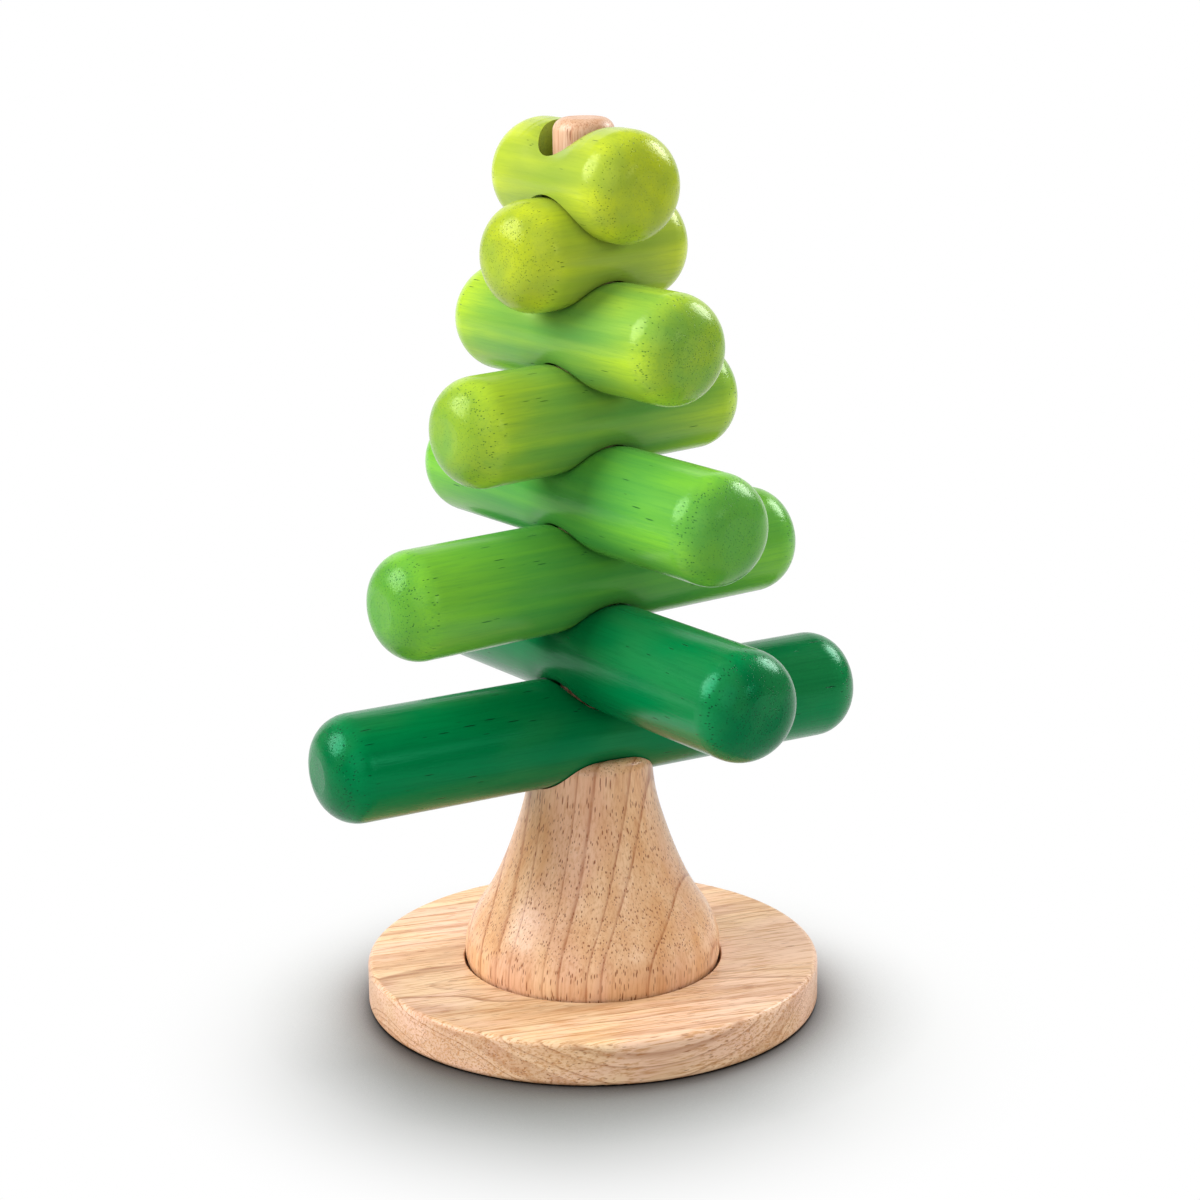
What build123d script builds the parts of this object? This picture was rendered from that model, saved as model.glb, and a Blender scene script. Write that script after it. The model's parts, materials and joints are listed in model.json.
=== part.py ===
from build123d import *
from math import cos, radians, sin, sqrt
import os

os.makedirs("parts", exist_ok=True)

# A wooden stacking toy shaped like a fir tree, in millimetres.
# The origin is the centre of the base disc's underside, +Z points up and the viewer stands at -Y.
# Round branches with flattened waists cross over each other on a dowel, which is glued into a flared trunk.
# The trunk stands loose in a round recess of the base disc.

# Base disc
base_radius = 63.8
base_thickness = 12.5
base_edge_round = 1.6
recess_depth = 6.5
recess_clearance = 0.35
recess_edge_round = 0.4

# Trunk: its widest ring, the seat in its slim top and the S-shaped flare between them
trunk_widest_radius = 36.1
trunk_widest_height = 15.0
trunk_seat_height = 68.4
trunk_rim_above_seat = 5.1
trunk_top_radius = 17.2
trunk_foot_arc = 11.5
trunk_foot_round = 2.0
trunk_rim_round = 3.6
flare_height_shares = (0.28, 0.634)
flare_radius_shares = (0.653, 0.187)

# Centre dowel
dowel_radius = 8.25
dowel_above_top_branch = 16.3
dowel_tip_round = 3.6
dowel_socket_depth = 46.0
glue_gap = 0.05

# Branch: a round rod with rounded ends and a waist that is low but as wide as the rod
rod_radius = 15.0
end_round = 11.0
end_disc_radius = 5.2
waist_half_height = 11.7
waist_valley_arc = 20.5
waist_shoulder_arc = 15.7
waist_section_count = 13
hole_radius = 12.0
cutting_overrun = 5.0

# How the branches nest. Each is hollowed underneath to sit on the waist of the one below it.
# The top one is hollowed deeper and more loosely, so it sits lower.
seat_gap = 0.3
saddle_depth = 1.6
top_seat_gap = 0.8
top_branch_drop = 3.3

# Branches come in pairs of one length. The azimuths and tilts, in degrees, are how the toy was stacked:
# the loose holes let each branch lean a little, with its +X end up where the tilt is positive.
pair_lengths = (60.6, 94.0, 133.8, 164.0)
azimuths = (-57.1, 43.3, -52.7, 38.0, -55.1, 35.2, -57.2, 27.2)
tilts = (-0.3, -1.3, 0.3, 0.5, 0.6, 0.4, 1.35, 0.85)

# Places that follow from the sizes above
recess_radius = trunk_widest_radius + recess_clearance
trunk_top_height = trunk_seat_height + trunk_rim_above_seat
lowest_branch_height = trunk_seat_height + seat_gap + waist_half_height
branch_pitch = 2 * waist_half_height + seat_gap - saddle_depth
branch_count = len(azimuths)
heights = [lowest_branch_height + branch_pitch * (branch_count - 1 - index) for index in range(branch_count)]
heights[0] -= top_branch_drop
lengths = [pair_lengths[index // 2] for index in range(branch_count)]
dowel_tip_height = heights[0] + dowel_above_top_branch
waist_arcs = waist_valley_arc + waist_shoulder_arc
shoulder_place = sqrt(waist_arcs**2 - (waist_arcs - (rod_radius - waist_half_height)) ** 2)


def branch_plane(index):
    """The upright plane along a branch, with X along the wood and Y up."""
    turn = radians(azimuths[index])
    tilt = radians(tilts[index])
    return Plane(
        origin=(0, 0, heights[index]),
        x_dir=(cos(turn) * cos(tilt), sin(turn) * cos(tilt), sin(tilt)),
        z_dir=(sin(turn), -cos(turn), 0),
    )


def waist_height(place, growth):
    """The waist's half height at a place along the wood: a valley arc that meets a shoulder arc."""
    valley_arc = waist_valley_arc - growth
    shoulder_arc = waist_shoulder_arc + growth
    if abs(place) < shoulder_place * valley_arc / waist_arcs:
        return waist_half_height + waist_valley_arc - sqrt(valley_arc**2 - place**2)
    return rod_radius - waist_shoulder_arc + sqrt(shoulder_arc**2 - (shoulder_place - abs(place)) ** 2)


def waist_sections(index, growth=0):
    """The cross sections of a branch's waist from shoulder to shoulder, ellipses as wide as the rod."""
    along = branch_plane(index).x_dir
    sections = []
    for station in range(waist_section_count):
        place = shoulder_place * (2 * station / (waist_section_count - 1) - 1)
        plane = Plane(
            origin=branch_plane(index).origin + along * place,
            x_dir=(-along.Y, along.X, 0),
            z_dir=along,
        )
        with BuildSketch(plane, mode=Mode.PRIVATE) as section:
            Ellipse(rod_radius + growth, waist_height(place, growth))
        sections.append(section.sketch)
    return sections


def draw_rod_half(side, reach, growth):
    """Draws half of the rod's outline from one shoulder out to a square end."""
    Polyline(
        (side * shoulder_place, 0),
        (side * shoulder_place, rod_radius + growth),
        (side * reach, rod_radius + growth),
        (side * reach, 0),
        close=True,
    )


def branch_cutter(index):
    """The middle of a branch, grown by the gap of the seat on it, which hollows whatever sits against it."""
    plane = branch_plane(index)
    growth = top_seat_gap if index == 1 else seat_gap
    with BuildPart(mode=Mode.PRIVATE) as cutter:
        loft(waist_sections(index, growth))
        for side in (-1, 1):
            with BuildSketch(plane):
                with BuildLine():
                    draw_rod_half(side, 2 * rod_radius, growth)
                make_face()
            revolve(axis=Axis(plane.origin, plane.x_dir))
    return cutter.part


def round_branch(index):
    """One branch: the waist, a rod with a rounded end on each side, the hole and the hollow underneath."""
    plane = branch_plane(index)
    half = lengths[index] / 2
    end_drop = end_disc_radius - (rod_radius - end_round)
    end_place = half - sqrt(end_round**2 - end_drop**2)
    with BuildPart() as branch:
        loft(waist_sections(index))
        for side in (-1, 1):
            with BuildSketch(plane):
                with BuildLine():
                    Line((side * shoulder_place, 0), (side * shoulder_place, rod_radius))
                    Line((side * shoulder_place, rod_radius), (side * end_place, rod_radius))
                    RadiusArc((side * end_place, rod_radius), (side * half, end_disc_radius), side * end_round)
                    Line((side * half, end_disc_radius), (side * half, 0))
                    Line((side * half, 0), (side * shoulder_place, 0))
                make_face()
            revolve(axis=Axis(plane.origin, plane.x_dir))
        with BuildSketch(Plane.XY.offset(heights[index] - rod_radius - cutting_overrun)):
            Circle(hole_radius)
        extrude(amount=2 * (rod_radius + cutting_overrun), mode=Mode.SUBTRACT)
        if index + 1 < branch_count:
            add(branch_cutter(index + 1), mode=Mode.SUBTRACT)
    return branch


# The base disc has soft edges and a blind round recess for the trunk's foot.
with BuildPart() as base_disc:
    with BuildSketch():
        Circle(base_radius)
    extrude(amount=base_thickness)
    fillet(base_disc.edges(), radius=base_edge_round)
    with BuildSketch(Plane.XY.offset(base_thickness)):
        Circle(recess_radius)
    extrude(amount=-recess_depth, mode=Mode.SUBTRACT)
    recess_mouth = base_disc.faces().filter_by(Plane.XY).sort_by(Axis.Z)[-1].edges().sort_by(SortBy.LENGTH)[0]
    fillet(recess_mouth, radius=recess_edge_round)
base_disc.part.label = "base_disc"
export_step(base_disc.part, "parts/base_disc.step")

# The trunk is turned: a foot that narrows into the recess, a wide ring, and a flare up to the slim top.
foot_height = base_thickness - recess_depth
foot_rise = trunk_widest_height - foot_height
foot_radius = trunk_widest_radius - trunk_foot_arc + sqrt(trunk_foot_arc**2 - foot_rise**2)
flare_points = [
    (
        trunk_top_radius + radius_share * (trunk_widest_radius - trunk_top_radius),
        trunk_widest_height + height_share * (trunk_top_height - trunk_widest_height),
    )
    for height_share, radius_share in zip(flare_height_shares, flare_radius_shares)
]
with BuildPart() as trunk:
    with BuildSketch(Plane.XZ):
        with BuildLine():
            Line((0, foot_height), (foot_radius, foot_height))
            RadiusArc((foot_radius, foot_height), (trunk_widest_radius, trunk_widest_height), -trunk_foot_arc)
            Spline(
                (trunk_widest_radius, trunk_widest_height),
                *flare_points,
                (trunk_top_radius, trunk_top_height),
                tangents=((0, 1), (0, 1)),
            )
            Line((trunk_top_radius, trunk_top_height), (0, trunk_top_height))
            Line((0, trunk_top_height), (0, foot_height))
        make_face()
    revolve(axis=Axis.Z)
    fillet(trunk.edges().sort_by(Axis.Z)[-1], radius=trunk_rim_round)
    fillet(trunk.faces().sort_by(Axis.Z)[0].edges(), radius=trunk_foot_round)
    add(branch_cutter(branch_count - 1), mode=Mode.SUBTRACT)
    with BuildSketch(Plane.XY.offset(trunk_top_height)):
        Circle(dowel_radius + glue_gap)
    extrude(amount=-dowel_socket_depth, mode=Mode.SUBTRACT)
trunk.part.label = "trunk"
export_step(trunk.part, "parts/trunk.step")

# The dowel fills its blind socket in the trunk and stands up through every branch.
with BuildPart() as centre_dowel:
    with BuildSketch(Plane.XY.offset(trunk_top_height - dowel_socket_depth)):
        Circle(dowel_radius)
    extrude(amount=dowel_tip_height - (trunk_top_height - dowel_socket_depth))
    fillet(centre_dowel.edges().sort_by(Axis.Z)[-1], radius=dowel_tip_round)
centre_dowel.part.label = "centre_dowel"
export_step(centre_dowel.part, "parts/centre_dowel.step")

# The branches are numbered from the top of the tree down.
for index in range(branch_count):
    branch = round_branch(index)
    branch.part.label = f"branch_{index + 1}"
    export_step(branch.part, f"parts/{branch.part.label}.step")
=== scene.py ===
"""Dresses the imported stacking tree: sanded, stained and lacquered rubberwood on a pale studio floor."""

import json
import logging
import math
from dataclasses import dataclass, field
from enum import Enum

import bpy
from mathutils import Matrix, Vector


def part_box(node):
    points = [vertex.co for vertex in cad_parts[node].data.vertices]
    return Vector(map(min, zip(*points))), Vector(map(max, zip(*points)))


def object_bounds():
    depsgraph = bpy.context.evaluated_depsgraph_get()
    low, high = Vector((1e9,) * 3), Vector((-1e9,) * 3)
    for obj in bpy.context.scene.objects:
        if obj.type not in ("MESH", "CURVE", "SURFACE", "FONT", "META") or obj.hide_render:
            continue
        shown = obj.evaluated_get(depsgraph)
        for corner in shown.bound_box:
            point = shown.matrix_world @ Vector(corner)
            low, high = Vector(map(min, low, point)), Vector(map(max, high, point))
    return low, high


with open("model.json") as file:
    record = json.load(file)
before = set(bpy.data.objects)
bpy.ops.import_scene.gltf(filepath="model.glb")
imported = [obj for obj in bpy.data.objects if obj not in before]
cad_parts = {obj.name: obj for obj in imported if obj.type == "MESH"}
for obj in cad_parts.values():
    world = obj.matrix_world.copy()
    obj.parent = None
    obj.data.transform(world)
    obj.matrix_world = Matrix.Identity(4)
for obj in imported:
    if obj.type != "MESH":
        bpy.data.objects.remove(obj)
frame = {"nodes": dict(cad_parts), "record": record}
CAD_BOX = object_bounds()

LOG = logging.getLogger("stacking_tree")
MM = 0.001
WHITE = "#FFFFFF"


def linear(colour: str) -> tuple[float, float, float, float]:
    """Turns an sRGB hex colour into linear red, green, blue and alpha.

    Args:
        colour: the colour as "#rrggbb".

    Returns:
        The linear colour with full alpha.
    """
    channels = [int(colour[i : i + 2], 16) / 255 for i in (1, 3, 5)]
    return (*[c / 12.92 if c <= 0.04045 else ((c + 0.055) / 1.055) ** 2.4 for c in channels], 1.0)


def add_node(
    tree: bpy.types.NodeTree, kind: str, inputs: dict | None = None, **settings: object
) -> bpy.types.Node:
    """Adds a node with its settings, values and links.

    Args:
        tree: the node tree that gets the node.
        kind: the node's type, such as "ShaderNodeMath".
        inputs: a value, or another node's output, for each input by its name or number.
        **settings: the node's own settings, such as operation="ADD".

    Returns:
        The new node.
    """
    node = tree.nodes.new(kind)
    for name, value in settings.items():
        setattr(node, name, value)
    for name, value in (inputs or {}).items():
        if isinstance(value, bpy.types.NodeSocket):
            tree.links.new(value, node.inputs[name])
        else:
            node.inputs[name].default_value = value
    return node


def new_material(name: str) -> bpy.types.Material:
    """Makes a material with an empty node tree.

    Args:
        name: the material's name.

    Returns:
        The material.
    """
    material = bpy.data.materials.new(name)
    material.use_nodes = True
    material.node_tree.nodes.clear()
    return material


def set_material(node: bpy.types.Object, material: bpy.types.Material) -> None:
    """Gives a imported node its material.

    Args:
        node: the node's object.
        material: the material that takes the place of its own.
    """
    node.data.materials.clear()
    node.data.materials.append(material)
    LOG.info("%s: %s", node.name, material.name)


@dataclass
class PhotoCamera:
    """The camera at the photograph's viewing angle, in millimetres, degrees and photograph pixels."""

    across: float = -3.6
    distance: float = 769.2
    height: float = 326.7
    pitch: float = 15.29
    roll: float = 0.7
    focal_pixels: float = 2897.3
    centre_x: float = 575.7
    centre_y: float = 599.7
    photo_side: float = 1200.0
    sensor: float = 36.0
    nearest_seen: float = 10.0

    def place(self) -> None:
        """Makes the camera and sets it as the scene's own."""
        data = bpy.data.cameras.new("photo_camera")
        data.sensor_width = self.sensor
        data.lens = self.focal_pixels / self.photo_side * self.sensor
        data.shift_x = (self.photo_side / 2 - self.centre_x) / self.photo_side
        data.shift_y = (self.centre_y - self.photo_side / 2) / self.photo_side
        data.clip_start = self.nearest_seen * MM
        camera = bpy.data.objects.new("photo_camera", data)
        bpy.context.scene.collection.objects.link(camera)
        camera.matrix_world = (
            Matrix.Translation(Vector((self.across, -self.distance, self.height)) * MM)
            @ Matrix.Rotation(math.radians(90 - self.pitch), 4, "X")
            @ Matrix.Rotation(math.radians(-self.roll), 4, "Z")
        )
        bpy.context.scene.camera = camera


class Lit(Enum):
    """What a light shines on, as the way that the floor is linked to it."""

    TREE = "EXCLUDE"
    FLOOR = "INCLUDE"


def direction(azimuth: float, elevation: float) -> Vector:
    """Finds the way from the tree to a place around it.

    Args:
        azimuth: the place's turn in degrees, 0 at the viewer's side and 90 at the viewer's right.
        elevation: how high it stands in degrees.

    Returns:
        The direction, one unit long.
    """
    turn = math.radians(azimuth)
    rise = math.radians(elevation)
    return Vector((math.sin(turn) * math.cos(rise), -math.cos(turn) * math.cos(rise), math.sin(rise)))


@dataclass(frozen=True)
class SoftBox:
    """A round soft light that looks at the middle of the tree, in metres, degrees and watts."""

    name: str
    azimuth: float
    elevation: float
    distance: float
    width: float
    height: float
    power: float
    lit: Lit = Lit.TREE

    def place(self, target: Vector) -> bpy.types.Object:
        """Makes the light.

        Args:
            target: the point that it looks at.

        Returns:
            The light.
        """
        data = bpy.data.lights.new(self.name, "AREA")
        data.shape = "ELLIPSE"
        data.size = self.width
        data.size_y = self.height
        data.energy = self.power
        offset = direction(self.azimuth, self.elevation)
        light = bpy.data.objects.new(self.name, data)
        light.location = target + offset * self.distance
        light.rotation_euler = offset.to_track_quat("Z", "Y").to_euler()
        bpy.context.scene.collection.objects.link(light)
        return light


@dataclass
class Studio:
    """The pale floor, the white surround, the soft lights and the dark flags between them.

    Lengths are in metres and angles in degrees. The floor that the camera sees turns to plain white
    between white_from and white_at from the middle of the shadow. Nearer in, ambient occlusion darkens
    it as a painted contact shadow, over the shadow that its lamp casts.
    """

    surround_strength: float = 0.47
    floor_side: float = 12.0
    floor_colour: str = "#D6D6D6"
    seen_floor_level: float = 0.68
    # Painted contact shadow: the floor that the camera sees is darkened by ambient occlusion within this
    # reach, raised to this power.
    painted_shadow_reach: float = 0.035
    painted_shadow_depth: float = 2.1
    painted_shadow_samples: int = 8
    shadow_middle: tuple[float, float, float] = (0.0, -0.02, 0.0)
    white_from: float = 0.055
    white_at: float = 0.132
    boxes: tuple[SoftBox, ...] = (
        SoftBox("key_left", -82, 36, 1.3, 0.9, 0.95, 20.0),
        SoftBox("rim_right_back", 124, 34, 1.3, 0.65, 0.65, 12.0),
        SoftBox("low_right_front", 42, 22, 1.4, 0.3, 0.4, 1.4),
        SoftBox("front_fill", -8, 24, 1.5, 1.2, 1.2, 5.0),
        SoftBox("overhead_for_floor", 168, 66, 1.9, 1.7, 1.7, 50.0, Lit.FLOOR),
    )
    flag_distance: float = 2.4
    flag_step: int = 10
    flag_colour: str = "#1A1A1A"
    flag_opening: float = 142.0
    flag_opening_height: float = 42.0

    def build(self, target: Vector) -> None:
        """Makes the world, the lights and the floor.

        The floor has its own lamp from above, so that the tree's shadow lies evenly round it.

        Args:
            target: the middle of the object, which the lights look at.
        """
        self.light_world()
        floor = self.lay_floor()
        for box in self.boxes:
            light = box.place(target)
            receivers = bpy.data.collections.new(f"receivers_of_{box.name}")
            receivers.objects.link(floor)
            receivers.collection_objects[0].light_linking.link_state = box.lit.value
            light.light_linking.receiver_collection = receivers
            LOG.info("light %s", box.name)
        self.hang_flags()

    def light_world(self) -> None:
        """Surrounds the object with soft white, which the camera and reflections see as plain white."""
        world = bpy.data.worlds.new("studio")
        bpy.context.scene.world = world
        world.use_nodes = True
        tree = world.node_tree
        tree.nodes.clear()
        strength = add_node(
            tree,
            "ShaderNodeMapRange",
            {"Value": self.seen_directly(tree), "To Min": self.surround_strength, "To Max": 1.0},
        )
        light = add_node(
            tree, "ShaderNodeBackground", {"Color": linear(WHITE), "Strength": strength.outputs["Result"]}
        )
        add_node(tree, "ShaderNodeOutputWorld", {"Surface": light.outputs[0]})

    def seen_directly(self, tree: bpy.types.NodeTree) -> bpy.types.NodeSocket:
        """Finds the rays of the camera, of reflections and of glass.

        Args:
            tree: the node tree that asks.

        Returns:
            An output that is 1 for such a ray and 0 for one that lights a surface.
        """
        path = add_node(tree, "ShaderNodeLightPath").outputs
        through = add_node(
            tree,
            "ShaderNodeMath",
            {0: path["Is Camera Ray"], 1: path["Is Transmission Ray"]},
            operation="MAXIMUM",
        )
        return add_node(
            tree, "ShaderNodeMath", {0: through.outputs[0], 1: path["Is Glossy Ray"]}, operation="MAXIMUM"
        ).outputs[0]

    def lay_floor(self) -> bpy.types.Object:
        """Lays a plain floor that the camera sees as white but for the object's shadow, which a painted
        contact shadow from ambient occlusion deepens near the object.

        Returns:
            The floor.
        """
        half = self.floor_side / 2
        corners = [(-half, -half, 0), (half, -half, 0), (half, half, 0), (-half, half, 0)]
        mesh = bpy.data.meshes.new("floor")
        mesh.from_pydata(corners, [], [(0, 1, 2, 3)])
        floor = bpy.data.objects.new("floor", mesh)
        bpy.context.scene.collection.objects.link(floor)
        material = new_material("matt_paper_floor")
        tree = material.node_tree
        matt = add_node(tree, "ShaderNodeBsdfDiffuse", {"Color": linear(self.floor_colour)})
        # Painted contact shadow: ambient occlusion darkens the colour that the camera sees on the floor.
        occlusion_for_painted_shadow = add_node(
            tree, "ShaderNodeAmbientOcclusion", {"Distance": self.painted_shadow_reach}, samples=self.painted_shadow_samples
        )
        dark = add_node(
            tree, "ShaderNodeMath", {0: occlusion_for_painted_shadow.outputs["AO"], 1: self.painted_shadow_depth}, operation="POWER"
        )
        level = add_node(
            tree, "ShaderNodeMath", {0: dark.outputs[0], 1: self.seen_floor_level}, operation="MULTIPLY"
        )
        near = add_node(tree, "ShaderNodeBsdfDiffuse", {"Color": level.outputs[0]})
        far = add_node(tree, "ShaderNodeEmission", {"Color": linear(WHITE), "Strength": 1.0})
        place = add_node(tree, "ShaderNodeTexCoord").outputs["Object"]
        away = add_node(
            tree, "ShaderNodeVectorMath", {0: place, 1: self.shadow_middle}, operation="DISTANCE"
        )
        fade = add_node(
            tree,
            "ShaderNodeMapRange",
            {"Value": away.outputs["Value"], "From Min": self.white_from, "From Max": self.white_at},
            interpolation_type="SMOOTHSTEP",
        )
        seen = add_node(
            tree, "ShaderNodeMixShader", {0: fade.outputs["Result"], 1: near.outputs[0], 2: far.outputs[0]}
        )
        mixed = add_node(
            tree, "ShaderNodeMixShader", {0: self.seen_directly(tree), 1: matt.outputs[0], 2: seen.outputs[0]}
        )
        add_node(tree, "ShaderNodeOutputMaterial", {"Surface": mixed.outputs[0]})
        mesh.materials.append(material)
        return floor

    def hang_flags(self) -> None:
        """Hangs black cloth all round but behind the tree, so that the lacquer mirrors a dark room.

        Only reflections meet the cloth: it shades nothing and the camera looks through it.
        """
        turns = range(-180, 181, self.flag_step)
        rises = range(0, 91, self.flag_step)
        points = [direction(turn, rise) * self.flag_distance for rise in rises for turn in turns]
        width = len(turns)
        half_step = self.flag_step / 2
        faces = []
        for row, rise in enumerate(rises[:-1]):
            for col, turn in enumerate(turns[:-1]):
                in_front = abs(turn + half_step) < self.flag_opening
                above = rise + half_step > self.flag_opening_height
                if in_front or above:
                    first = row * width + col
                    faces.append((first, first + 1, first + width + 1, first + width))
        mesh = bpy.data.meshes.new("flags")
        mesh.from_pydata(points, [], faces)
        flags = bpy.data.objects.new("flags", mesh)
        bpy.context.scene.collection.objects.link(flags)
        material = new_material("black_cloth_flags")
        tree = material.node_tree
        cloth = add_node(tree, "ShaderNodeEmission", {"Color": linear(self.flag_colour), "Strength": 1.0})
        add_node(tree, "ShaderNodeOutputMaterial", {"Surface": cloth.outputs[0]})
        mesh.materials.append(material)
        flags.visible_camera = False
        flags.visible_diffuse = False
        flags.visible_transmission = False
        flags.visible_shadow = False


@dataclass(frozen=True)
class Grain:
    """How a piece was cut from its plank, in millimetres and degrees.

    The fibres run along the grain frame's X. The growth rings are cylinders about the pith, a line
    along the fibres that passes through pith. late_wood is the dark share of each ring, and
    half_length is half a stained rod's length, or 0 for plain wood.
    """

    origin: tuple[float, float, float]
    turn: tuple[float, float, float]
    pith: tuple[float, float]
    ring_spacing: float = 8.0
    ring_sway: float = 5.0
    sway_length: float = 90.0
    late_wood: float = 0.07
    half_length: float = 0.0


@dataclass(frozen=True)
class WoodFinish:
    """What a wooden surface looks like: its colours, and how strong its figure is.

    Sizes are in millimetres. closed_pores is the share of pores that don't show where the surface
    follows the fibres. End grain takes the end's colour, or else the pore's.
    """

    name: str
    pale: str
    deep: str
    patch: str
    streak: str
    line: str
    pore: str
    patch_strength: float = 0.6
    streak_strength: float = 0.5
    line_strength: float = 0.6
    pore_strength: float = 0.7
    pore_radius: float = 0.15
    streak_length: float = 13.0
    closed_pores: float = 0.9
    # Painted light: how much paler a stained rod is made towards its ends.
    painted_end_light: float = 0.0
    end_depth: float = 0.0
    end: str = ""
    roughness: float = 0.2
    specular: float = 0.28
    gloss_tint: str = WHITE


@dataclass
class Wood:
    """Rubberwood under a satin lacquer: growth lines, streaks, patches and pores in grain coordinates.

    Sizes are in millimetres. A window holds the two levels of a noise, or of how squarely the surface
    cuts the fibres, between which a feature comes in.
    """

    finish: WoodFinish
    grain: Grain
    material: bpy.types.Material = field(init=False)
    tree: bpy.types.NodeTree = field(init=False)
    wood: bpy.types.NodeSocket = field(init=False)
    endness: bpy.types.NodeSocket = field(init=False)

    # The vessel lines are 0.2 to 0.3 mm wide in the wood, too fine to show, so they are drawn coarser.
    streak_width: float = 0.55
    streak_window: tuple[float, float] = (0.44, 0.68)
    band_length: float = 120.0
    band_width: float = 5.0
    band_window: tuple[float, float] = (0.3, 0.7)
    # On a stained rod the bands add this much to a painted shade that is deepest at its middle, where the
    # branches cross, and turns to painted light at its ends.
    band_share: float = 0.45
    painted_middle_shade: float = 0.5
    painted_middle_shade_span: float = 0.25
    patch_length: float = 42.0
    patch_width: float = 17.0
    patch_window: tuple[float, float] = (0.42, 0.66)
    patch_swirl: float = 0.4
    # Rings differ in width, and each line breaks up along its way.
    ring_wander: float = 1.6
    ring_wander_scale: float = 0.8
    sway_slimness: float = 3.0
    break_length: float = 22.0
    break_width: float = 1.6
    break_window: tuple[float, float] = (0.35, 0.62)
    faintest_break: float = 0.5
    faintest_ring: float = 0.55
    # Darkness before a ring's end, at a share of its late wood plus a share of the whole ring.
    ring_shades: tuple[tuple[float, float, float], ...] = (
        (1.0, 0.43, 0.0),
        (2.0, 0.0, 0.22),
        (1.0, 0.0, 0.9),
        (0.5, 0.0, 1.0),
        (0.0, 0.01, 0.15),
    )
    # A pore is a vessel cut open. Its radius varies between two shares of the finish's own.
    pore_length: float = 7.0
    pore_spacing: float = 0.56
    pore_shares: tuple[float, float] = (0.5, 1.3)
    pore_core: float = 0.55
    pore_window: tuple[float, float] = (0.1, 0.45)
    closed_at_ends: float = 0.1
    end_window: tuple[float, float] = (0.35, 0.85)
    dent_depth: float = 0.08
    streak_dent: float = 0.2

    def __post_init__(self) -> None:
        """Builds the material."""
        self.material = new_material(self.finish.name)
        self.tree = self.material.node_tree
        place = add_node(self.tree, "ShaderNodeTexCoord").outputs
        turn = tuple(math.radians(v) for v in self.grain.turn)
        self.wood = add_node(
            self.tree,
            "ShaderNodeMapping",
            {
                "Vector": place["Object"],
                "Location": tuple(v * MM for v in self.grain.origin),
                "Rotation": turn,
                "Scale": (MM, MM, MM),
            },
            vector_type="TEXTURE",
        ).outputs["Vector"]
        facing = add_node(
            self.tree,
            "ShaderNodeVectorRotate",
            {"Vector": place["Normal"], "Rotation": turn},
            rotation_type="EULER_XYZ",
            invert=True,
        )
        split = add_node(self.tree, "ShaderNodeSeparateXYZ", {0: facing.outputs[0]})
        self.endness = add_node(
            self.tree, "ShaderNodeMath", {0: split.outputs["X"]}, operation="ABSOLUTE"
        ).outputs[0]
        self.join()

    def join(self) -> None:
        """Lays the figure over the plain colour, and the lacquer over both."""
        finish = self.finish
        streak = self.streaks()
        pore = self.pores()
        colour = linear(finish.pale)
        for amount, strength, shade in (
            (self.bands(), 1.0, finish.deep),
            (self.end_grain(), finish.end_depth, finish.end or finish.pore),
            (self.patches(), finish.patch_strength, finish.patch),
            (streak, finish.streak_strength, finish.streak),
            (self.growth_lines(), finish.line_strength, finish.line),
            (pore, finish.pore_strength, finish.pore),
        ):
            share = add_node(self.tree, "ShaderNodeMath", {0: amount, 1: strength}, operation="MULTIPLY")
            colour = add_node(
                self.tree,
                "ShaderNodeMix",
                {0: share.outputs[0], 6: colour, 7: linear(shade)},
                data_type="RGBA",
            ).outputs[2]
        dents = add_node(
            self.tree, "ShaderNodeMath", {0: streak, 1: self.streak_dent, 2: pore}, operation="MULTIPLY_ADD"
        )
        bump = add_node(
            self.tree,
            "ShaderNodeBump",
            {"Height": dents.outputs[0], "Distance": self.dent_depth * MM},
            invert=True,
        )
        shader = add_node(
            self.tree,
            "ShaderNodeBsdfPrincipled",
            {
                "Base Color": colour,
                "Roughness": finish.roughness,
                "Specular IOR Level": finish.specular,
                "Specular Tint": linear(finish.gloss_tint),
                "Normal": bump.outputs["Normal"],
            },
        )
        add_node(self.tree, "ShaderNodeOutputMaterial", {"Surface": shader.outputs[0]})

    def stretched(self, along: float, across: float) -> bpy.types.NodeSocket:
        """Shrinks the grain coordinates to features of one size along the fibres and another across.

        Args:
            along: the size along the fibres in millimetres.
            across: the size across them.

        Returns:
            The coordinates counted in those sizes.
        """
        return add_node(
            self.tree, "ShaderNodeVectorMath", {0: self.wood, 1: (along, across, across)}, operation="DIVIDE"
        ).outputs["Vector"]

    def end_grain(self) -> bpy.types.NodeSocket:
        """Finds where the surface cuts across the fibres.

        Returns:
            How much of an end each point is, from 0 to 1.
        """
        low, high = self.end_window
        return add_node(
            self.tree,
            "ShaderNodeMapRange",
            {"Value": self.endness, "From Min": low, "From Max": high},
            interpolation_type="SMOOTHSTEP",
        ).outputs["Result"]

    def streaks(self) -> bpy.types.NodeSocket:
        """Draws the fine short streaks of the vessel lines.

        Returns:
            How dark each point's streak is, from 0 to 1.
        """
        vector = self.stretched(self.finish.streak_length, self.streak_width)
        fine = add_node(
            self.tree,
            "ShaderNodeTexNoise",
            {"Vector": vector, "Scale": 1.0, "Detail": 3.0, "Roughness": 0.62},
        )
        low, high = self.streak_window
        return add_node(
            self.tree,
            "ShaderNodeMapRange",
            {"Value": fine.outputs["Fac"], "From Min": low, "From Max": high},
            interpolation_type="SMOOTHSTEP",
        ).outputs["Result"]

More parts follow.
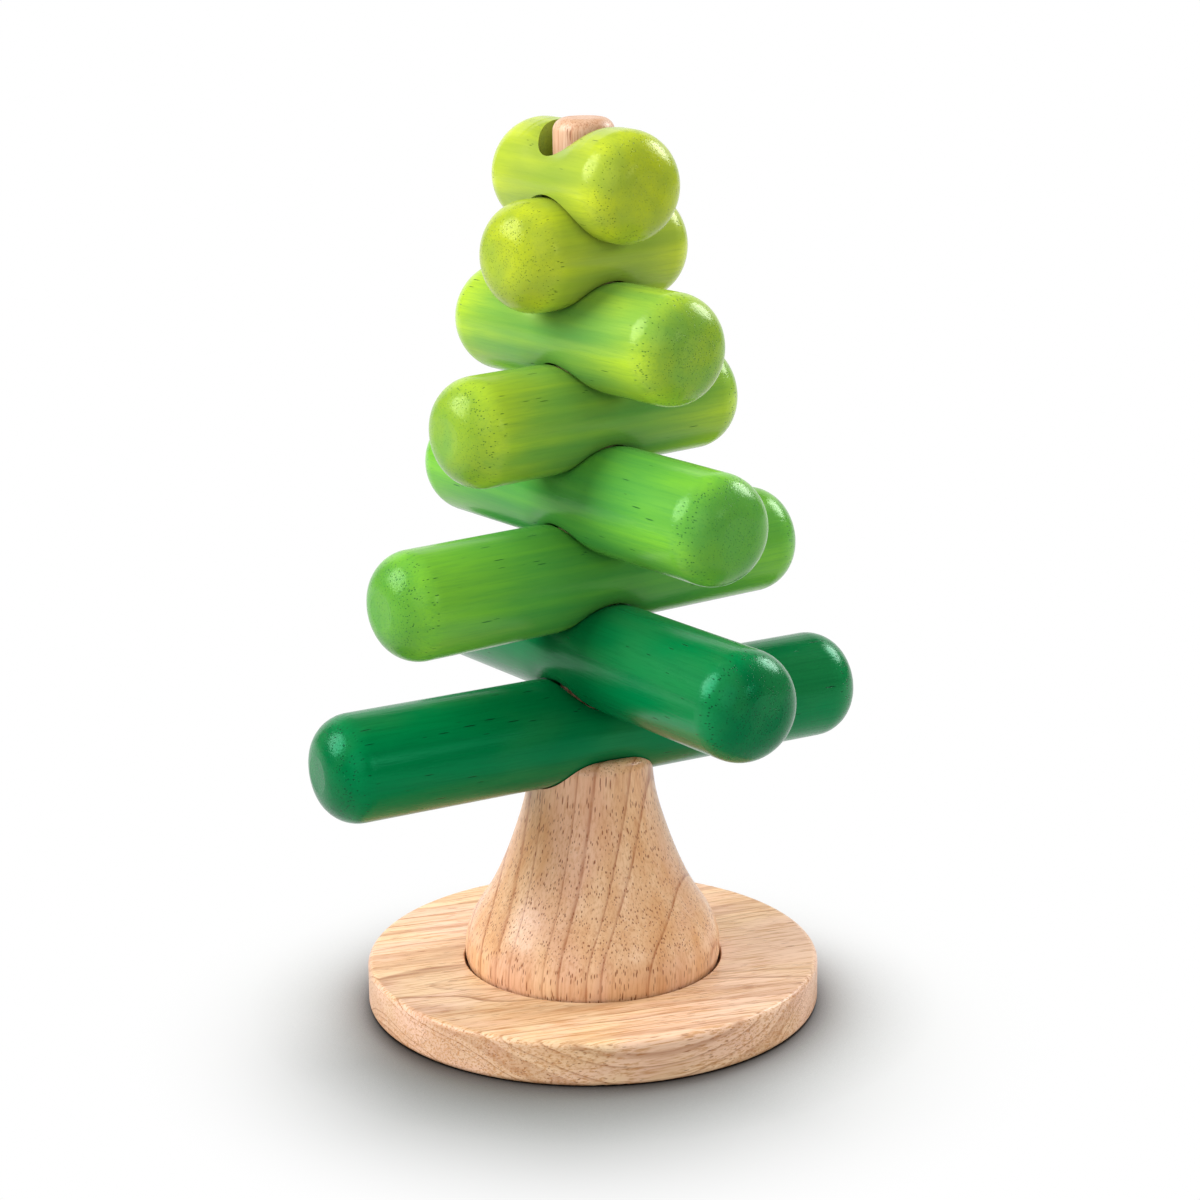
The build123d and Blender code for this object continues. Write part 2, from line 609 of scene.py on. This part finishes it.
    def bands(self) -> bpy.types.NodeSocket:
        """Draws the broad bands of deeper colour along the wood. On a stained rod it adds painted shade,
        deepest at the middle where the branches cross, and painted light towards the ends.

        Returns:
            How deep each point's band is, from 0 to 1.
        """
        vector = self.stretched(self.band_length, self.band_width)
        soft = add_node(self.tree, "ShaderNodeTexNoise", {"Vector": vector, "Scale": 1.0, "Detail": 2.0})
        low, high = self.band_window
        band = add_node(
            self.tree,
            "ShaderNodeMapRange",
            {"Value": soft.outputs["Fac"], "From Min": low, "From Max": high},
        ).outputs["Result"]
        if not self.grain.half_length:
            return band
        # Painted shade and light: deeper towards the rod's middle, where the branches cross, and paler
        # towards its ends.
        split = add_node(self.tree, "ShaderNodeSeparateXYZ", {0: self.wood})
        along = add_node(self.tree, "ShaderNodeMath", {0: split.outputs["X"]}, operation="ABSOLUTE")
        middle = add_node(
            self.tree,
            "ShaderNodeMapRange",
            {
                "Value": along.outputs[0],
                "From Min": self.grain.half_length * self.painted_middle_shade_span,
                "From Max": self.grain.half_length,
                "To Min": self.painted_middle_shade,
                "To Max": -self.finish.painted_end_light,
            },
            interpolation_type="SMOOTHSTEP",
        )
        return add_node(
            self.tree,
            "ShaderNodeMath",
            {0: band, 1: self.band_share, 2: middle.outputs["Result"]},
            operation="MULTIPLY_ADD",
            use_clamp=True,
        ).outputs[0]

    def patches(self) -> bpy.types.NodeSocket:
        """Draws the soft patches where the colour differs.

        Returns:
            How much of the patch's colour each point has, from 0 to 1.
        """
        vector = self.stretched(self.patch_length, self.patch_width)
        soft = add_node(
            self.tree,
            "ShaderNodeTexNoise",
            {"Vector": vector, "Scale": 1.0, "Detail": 2.5, "Distortion": self.patch_swirl},
        )
        low, high = self.patch_window
        return add_node(
            self.tree,
            "ShaderNodeMapRange",
            {"Value": soft.outputs["Fac"], "From Min": low, "From Max": high},
            interpolation_type="SMOOTHSTEP",
        ).outputs["Result"]

    def ring_count(self) -> bpy.types.NodeSocket:
        """Counts the growth rings outwards from the pith, unevenly and with a sway along the fibres.

        Returns:
            The ring that each point is in, with the share of it that lies inside the point.
        """
        grain = self.grain
        from_pith = add_node(
            self.tree, "ShaderNodeVectorMath", {0: self.wood, 1: (0, *grain.pith)}, operation="SUBTRACT"
        )
        flat = add_node(
            self.tree,
            "ShaderNodeVectorMath",
            {0: from_pith.outputs["Vector"], 1: (0, 1, 1)},
            operation="MULTIPLY",
        )
        radius = add_node(self.tree, "ShaderNodeVectorMath", {0: flat.outputs["Vector"]}, operation="LENGTH")
        vector = self.stretched(grain.sway_length, grain.sway_length / self.sway_slimness)
        drift = add_node(self.tree, "ShaderNodeTexNoise", {"Vector": vector, "Scale": 1.0, "Detail": 1.5})
        swayed = add_node(
            self.tree,
            "ShaderNodeMath",
            {0: drift.outputs["Fac"], 1: grain.ring_sway, 2: radius.outputs["Value"]},
            operation="MULTIPLY_ADD",
        )
        year = add_node(
            self.tree, "ShaderNodeMath", {0: swayed.outputs[0], 1: grain.ring_spacing}, operation="DIVIDE"
        )
        uneven = add_node(
            self.tree,
            "ShaderNodeTexNoise",
            {"W": year.outputs[0], "Scale": self.ring_wander_scale, "Detail": 0.0},
            noise_dimensions="1D",
        )
        return add_node(
            self.tree,
            "ShaderNodeMath",
            {0: uneven.outputs["Fac"], 1: self.ring_wander, 2: year.outputs[0]},
            operation="MULTIPLY_ADD",
        ).outputs[0]

    def growth_lines(self) -> bpy.types.NodeSocket:
        """Draws the growth rings' late wood: a shade that deepens outwards and ends in a thin line.

        Returns:
            How dark the late wood is, from 0 to 1.
        """
        count = self.ring_count()
        part = add_node(self.tree, "ShaderNodeMath", {0: count}, operation="FRACT")
        shade = add_node(self.tree, "ShaderNodeValToRGB", {"Fac": part.outputs[0]})
        ramp = shade.color_ramp
        for element, position in zip(ramp.elements, (0.0, 1.0)):
            element.position = position
            element.color = (0, 0, 0, 1)
        for late_share, ring_share, level in self.ring_shades:
            before = late_share * self.grain.late_wood + ring_share
            ramp.elements.new(1 - before).color = (level, level, level, 1)
        which = add_node(self.tree, "ShaderNodeMath", {0: count}, operation="FLOOR")
        weight = add_node(
            self.tree, "ShaderNodeTexWhiteNoise", {"W": which.outputs[0]}, noise_dimensions="1D"
        )
        strong = add_node(
            self.tree,
            "ShaderNodeMapRange",
            {"Value": weight.outputs["Value"], "To Min": self.faintest_ring, "To Max": 1.0},
        )
        vector = self.stretched(self.break_length, self.break_width)
        breaks = add_node(self.tree, "ShaderNodeTexNoise", {"Vector": vector, "Scale": 1.0, "Detail": 3.0})
        low, high = self.break_window
        kept = add_node(
            self.tree,
            "ShaderNodeMapRange",
            {
                "Value": breaks.outputs["Fac"],
                "From Min": low,
                "From Max": high,
                "To Min": self.faintest_break,
                "To Max": 1.0,
            },
        )
        line = add_node(
            self.tree,
            "ShaderNodeMath",
            {0: shade.outputs["Color"], 1: strong.outputs["Result"]},
            operation="MULTIPLY",
        )
        return add_node(
            self.tree, "ShaderNodeMath", {0: line.outputs[0], 1: kept.outputs["Result"]}, operation="MULTIPLY"
        ).outputs[0]

    def pores(self) -> bpy.types.NodeSocket:
        """Draws the open pores: dots where the surface cuts across the fibres, fewer and as dashes elsewhere.

        Returns:
            How deep into a pore each point is, from 0 to 1.
        """
        cell = add_node(
            self.tree,
            "ShaderNodeTexVoronoi",
            {"Vector": self.stretched(self.pore_length, self.pore_spacing), "Scale": 1.0, "Randomness": 1.0},
            feature="F1",
        )
        split = add_node(self.tree, "ShaderNodeSeparateColor", {"Color": cell.outputs["Color"]})
        radius = self.finish.pore_radius / self.pore_spacing
        least, most = self.pore_shares
        reach = add_node(
            self.tree,
            "ShaderNodeMapRange",
            {"Value": split.outputs[0], "To Min": radius * least, "To Max": radius * most},
        ).outputs["Result"]
        inner = add_node(self.tree, "ShaderNodeMath", {0: reach, 1: self.pore_core}, operation="MULTIPLY")
        hole = add_node(
            self.tree,
            "ShaderNodeMapRange",
            {
                "Value": cell.outputs["Distance"],
                "From Min": inner.outputs[0],
                "From Max": reach,
                "To Min": 1.0,
                "To Max": 0.0,
            },
            interpolation_type="SMOOTHSTEP",
        )
        low, high = self.pore_window
        bar = add_node(
            self.tree,
            "ShaderNodeMapRange",
            {
                "Value": self.endness,
                "From Min": low,
                "From Max": high,
                "To Min": self.finish.closed_pores,
                "To Max": self.closed_at_ends,
            },
        )
        open_here = add_node(
            self.tree,
            "ShaderNodeMath",
            {0: split.outputs[1], 1: bar.outputs["Result"]},
            operation="GREATER_THAN",
        )
        return add_node(
            self.tree,
            "ShaderNodeMath",
            {0: hole.outputs["Result"], 1: open_here.outputs[0]},
            operation="MULTIPLY",
        ).outputs[0]


# Flat-sawn plank: cathedral lines and fine brown streaks on a yellowish top. On the end walls the cut
# fibres give a pinker shade and brown dots.
BASE_WOOD = WoodFinish(
    "sanded_rubberwood_base", pale="#F4D2A8", deep="#E6BC92", patch="#F0C6AE", streak="#C4884E",
    line="#9A5822", pore="#96582E", patch_strength=0.65, streak_strength=0.8, line_strength=0.85,
    pore_strength=0.65, closed_pores=0.5, streak_length=24.0, end="#C09890", end_depth=0.35,
    roughness=0.32, specular=0.32,
)
# Turned flare: the lathe cuts across the fibres, so brown pores dot the slope and the late wood draws
# leaning lines.
TRUNK_WOOD = WoodFinish(
    "turned_rubberwood_trunk", pale="#EEC49A", deep="#DDA674", patch="#E6B69A", streak="#C68858",
    line="#A0582A", pore="#8A4A22", patch_strength=0.6, streak_strength=0.55, line_strength=0.95,
    pore_strength=0.85, pore_radius=0.18, closed_pores=0.15, roughness=0.26, specular=0.45,
)
# The dowel is another wood: a pale pinkish tan, with brown streaks and specks.
DOWEL_WOOD = WoodFinish(
    "turned_hardwood_dowel", pale="#E4C4A6", deep="#D0A07A", patch="#DCAC8C", streak="#B07048",
    line="#A8623A", pore="#8E4E2C", patch_strength=0.5, streak_strength=0.65, line_strength=0.5,
    pore_strength=0.8, closed_pores=0.3, roughness=0.35,
)
# The stains are thin enough to show the wood: deeper where end grain drinks them, cloudy in between,
# with dark specks where the pores hold more. Each rod also has painted light, paler towards its ends,
# and painted shade, deeper towards its middle where the branches cross. The lacquer over them mirrors
# in their own hue.
STAINS = {
    "lime_stain": WoodFinish(
        "lime_stained_rubberwood", pale="#C8D62C", deep="#8AA244", patch="#8EAA3E", streak="#8AA438",
        line="#7E9A32", pore="#4E6A1C", patch_strength=0.5, streak_strength=0.3, line_strength=0.2,
        pore_strength=0.7, painted_end_light=0.1, end_depth=0.34, gloss_tint="#F8FFA0",
    ),
    "yellow_green_stain": WoodFinish(
        "yellow_green_stained_rubberwood", pale="#ACCC36", deep="#5C9648", patch="#609E48",
        streak="#5E943E", line="#548A3A", pore="#3A6C28", patch_strength=0.5, streak_strength=0.22,
        line_strength=0.15, pore_strength=0.85, painted_end_light=0.25, end_depth=0.42, gloss_tint="#E8FFA8",
    ),
    "mid_green_stain": WoodFinish(
        "mid_green_stained_rubberwood", pale="#7ABE38", deep="#3E9040", patch="#549A42",
        streak="#388C42", line="#30823C", pore="#1A5C2C", patch_strength=0.5, streak_strength=0.22,
        line_strength=0.15, pore_strength=0.85, painted_end_light=0.2, end_depth=0.42, gloss_tint="#C8FFB0",
    ),
    "dark_green_stain": WoodFinish(
        "dark_green_stained_rubberwood", pale="#007C42", deep="#006A38", patch="#247A42",
        streak="#00582C", line="#005028", pore="#003018", patch_strength=0.55, streak_strength=0.2,
        line_strength=0.15, pore_strength=0.9, painted_end_light=0.1, end_depth=0.4, specular=0.32,
        gloss_tint="#58F0BC",
    ),
}


@dataclass
class Stand:
    """The plain wood that carries the branches: a flat-sawn base disc, and an upright trunk and dowel."""

    base_grain: Grain = Grain(
        (0, 0, 0),
        (0, -2.5, 17),
        (-12, -45),
        ring_spacing=3.4,
        ring_sway=8.0,
        sway_length=70.0,
        late_wood=0.13,
    )
    trunk_grain: Grain = Grain(
        (0, 0, 0), (0, -86.5, 0), (55, 190), ring_spacing=7.0, ring_sway=5.0, late_wood=0.09
    )
    dowel_grain: Grain = Grain((0, 0, 0), (0, -90, 0), (40, 60), ring_spacing=4.0)

    def dress(self) -> None:
        """Gives each of the three its wood."""
        for name, finish, grain in (
            ("base_disc", BASE_WOOD, self.base_grain),
            ("trunk", TRUNK_WOOD, self.trunk_grain),
            ("centre_dowel", DOWEL_WOOD, self.dowel_grain),
        ):
            set_material(frame["nodes"][name], Wood(finish, grain).material)


@dataclass
class Branch:
    """One stained branch, whose grain runs along it.

    Its number is its place from the top, from 0. It picks where the pith lay in the plank, so that each
    branch has its own stretch of grain. Lengths are in millimetres.
    """

    name: str
    finish: WoodFinish
    number: int
    pith_across: tuple[float, ...] = (-60.0, -43.0, -26.0)
    pith_below: tuple[float, ...] = (-35.0, -44.0, -53.0, -62.0)
    ring_spacing: float = 7.5

    def measure(self) -> tuple[float, float]:
        """Measures how the branch lies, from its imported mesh.

        Returns:
            The branch's azimuth in degrees and its half length in millimetres.
        """
        vertices = frame["nodes"][self.name].data.vertices
        spread = Vector((0.0, 0.0, 0.0))
        for vertex in vertices:
            x, y, _ = vertex.co
            spread += Vector((x * x, x * y, y * y))
        turn = math.atan2(2 * spread[1], spread[0] - spread[2]) / 2
        along = Vector((math.cos(turn), math.sin(turn), 0))
        half = max(abs(vertex.co.dot(along)) for vertex in vertices)
        return math.degrees(turn), half / MM

    def dress(self) -> None:
        """Gives the branch its stain."""
        low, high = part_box(self.name)
        azimuth, half_length = self.measure()
        grain = Grain(
            origin=(0, 0, (low[2] + high[2]) / 2 / MM),
            turn=(0, 0, azimuth),
            pith=(
                self.pith_across[self.number % len(self.pith_across)],
                self.pith_below[self.number % len(self.pith_below)],
            ),
            ring_spacing=self.ring_spacing,
            half_length=half_length,
        )
        set_material(frame["nodes"][self.name], Wood(self.finish, grain).material)
        LOG.info("%s: azimuth %.1f, half length %.1f mm", self.name, azimuth, half_length)


def main() -> None:
    """Builds the scene."""
    logging.basicConfig(level=logging.INFO)
    bpy.context.scene.view_settings.view_transform = "Standard"
    PhotoCamera().place()
    low, high = CAD_BOX
    Studio().build(Vector((0, 0, (low[2] + high[2]) / 2)))
    Stand().dress()
    stains = {piece["node"]: STAINS.get(piece["material_slot"]) for piece in frame["record"]["subparts"]}
    for number, name in enumerate(sorted(n for n in frame["nodes"] if n.startswith("branch_"))):
        Branch(name, stains[name], number).dress()


if __name__ == "__main__":
    main()
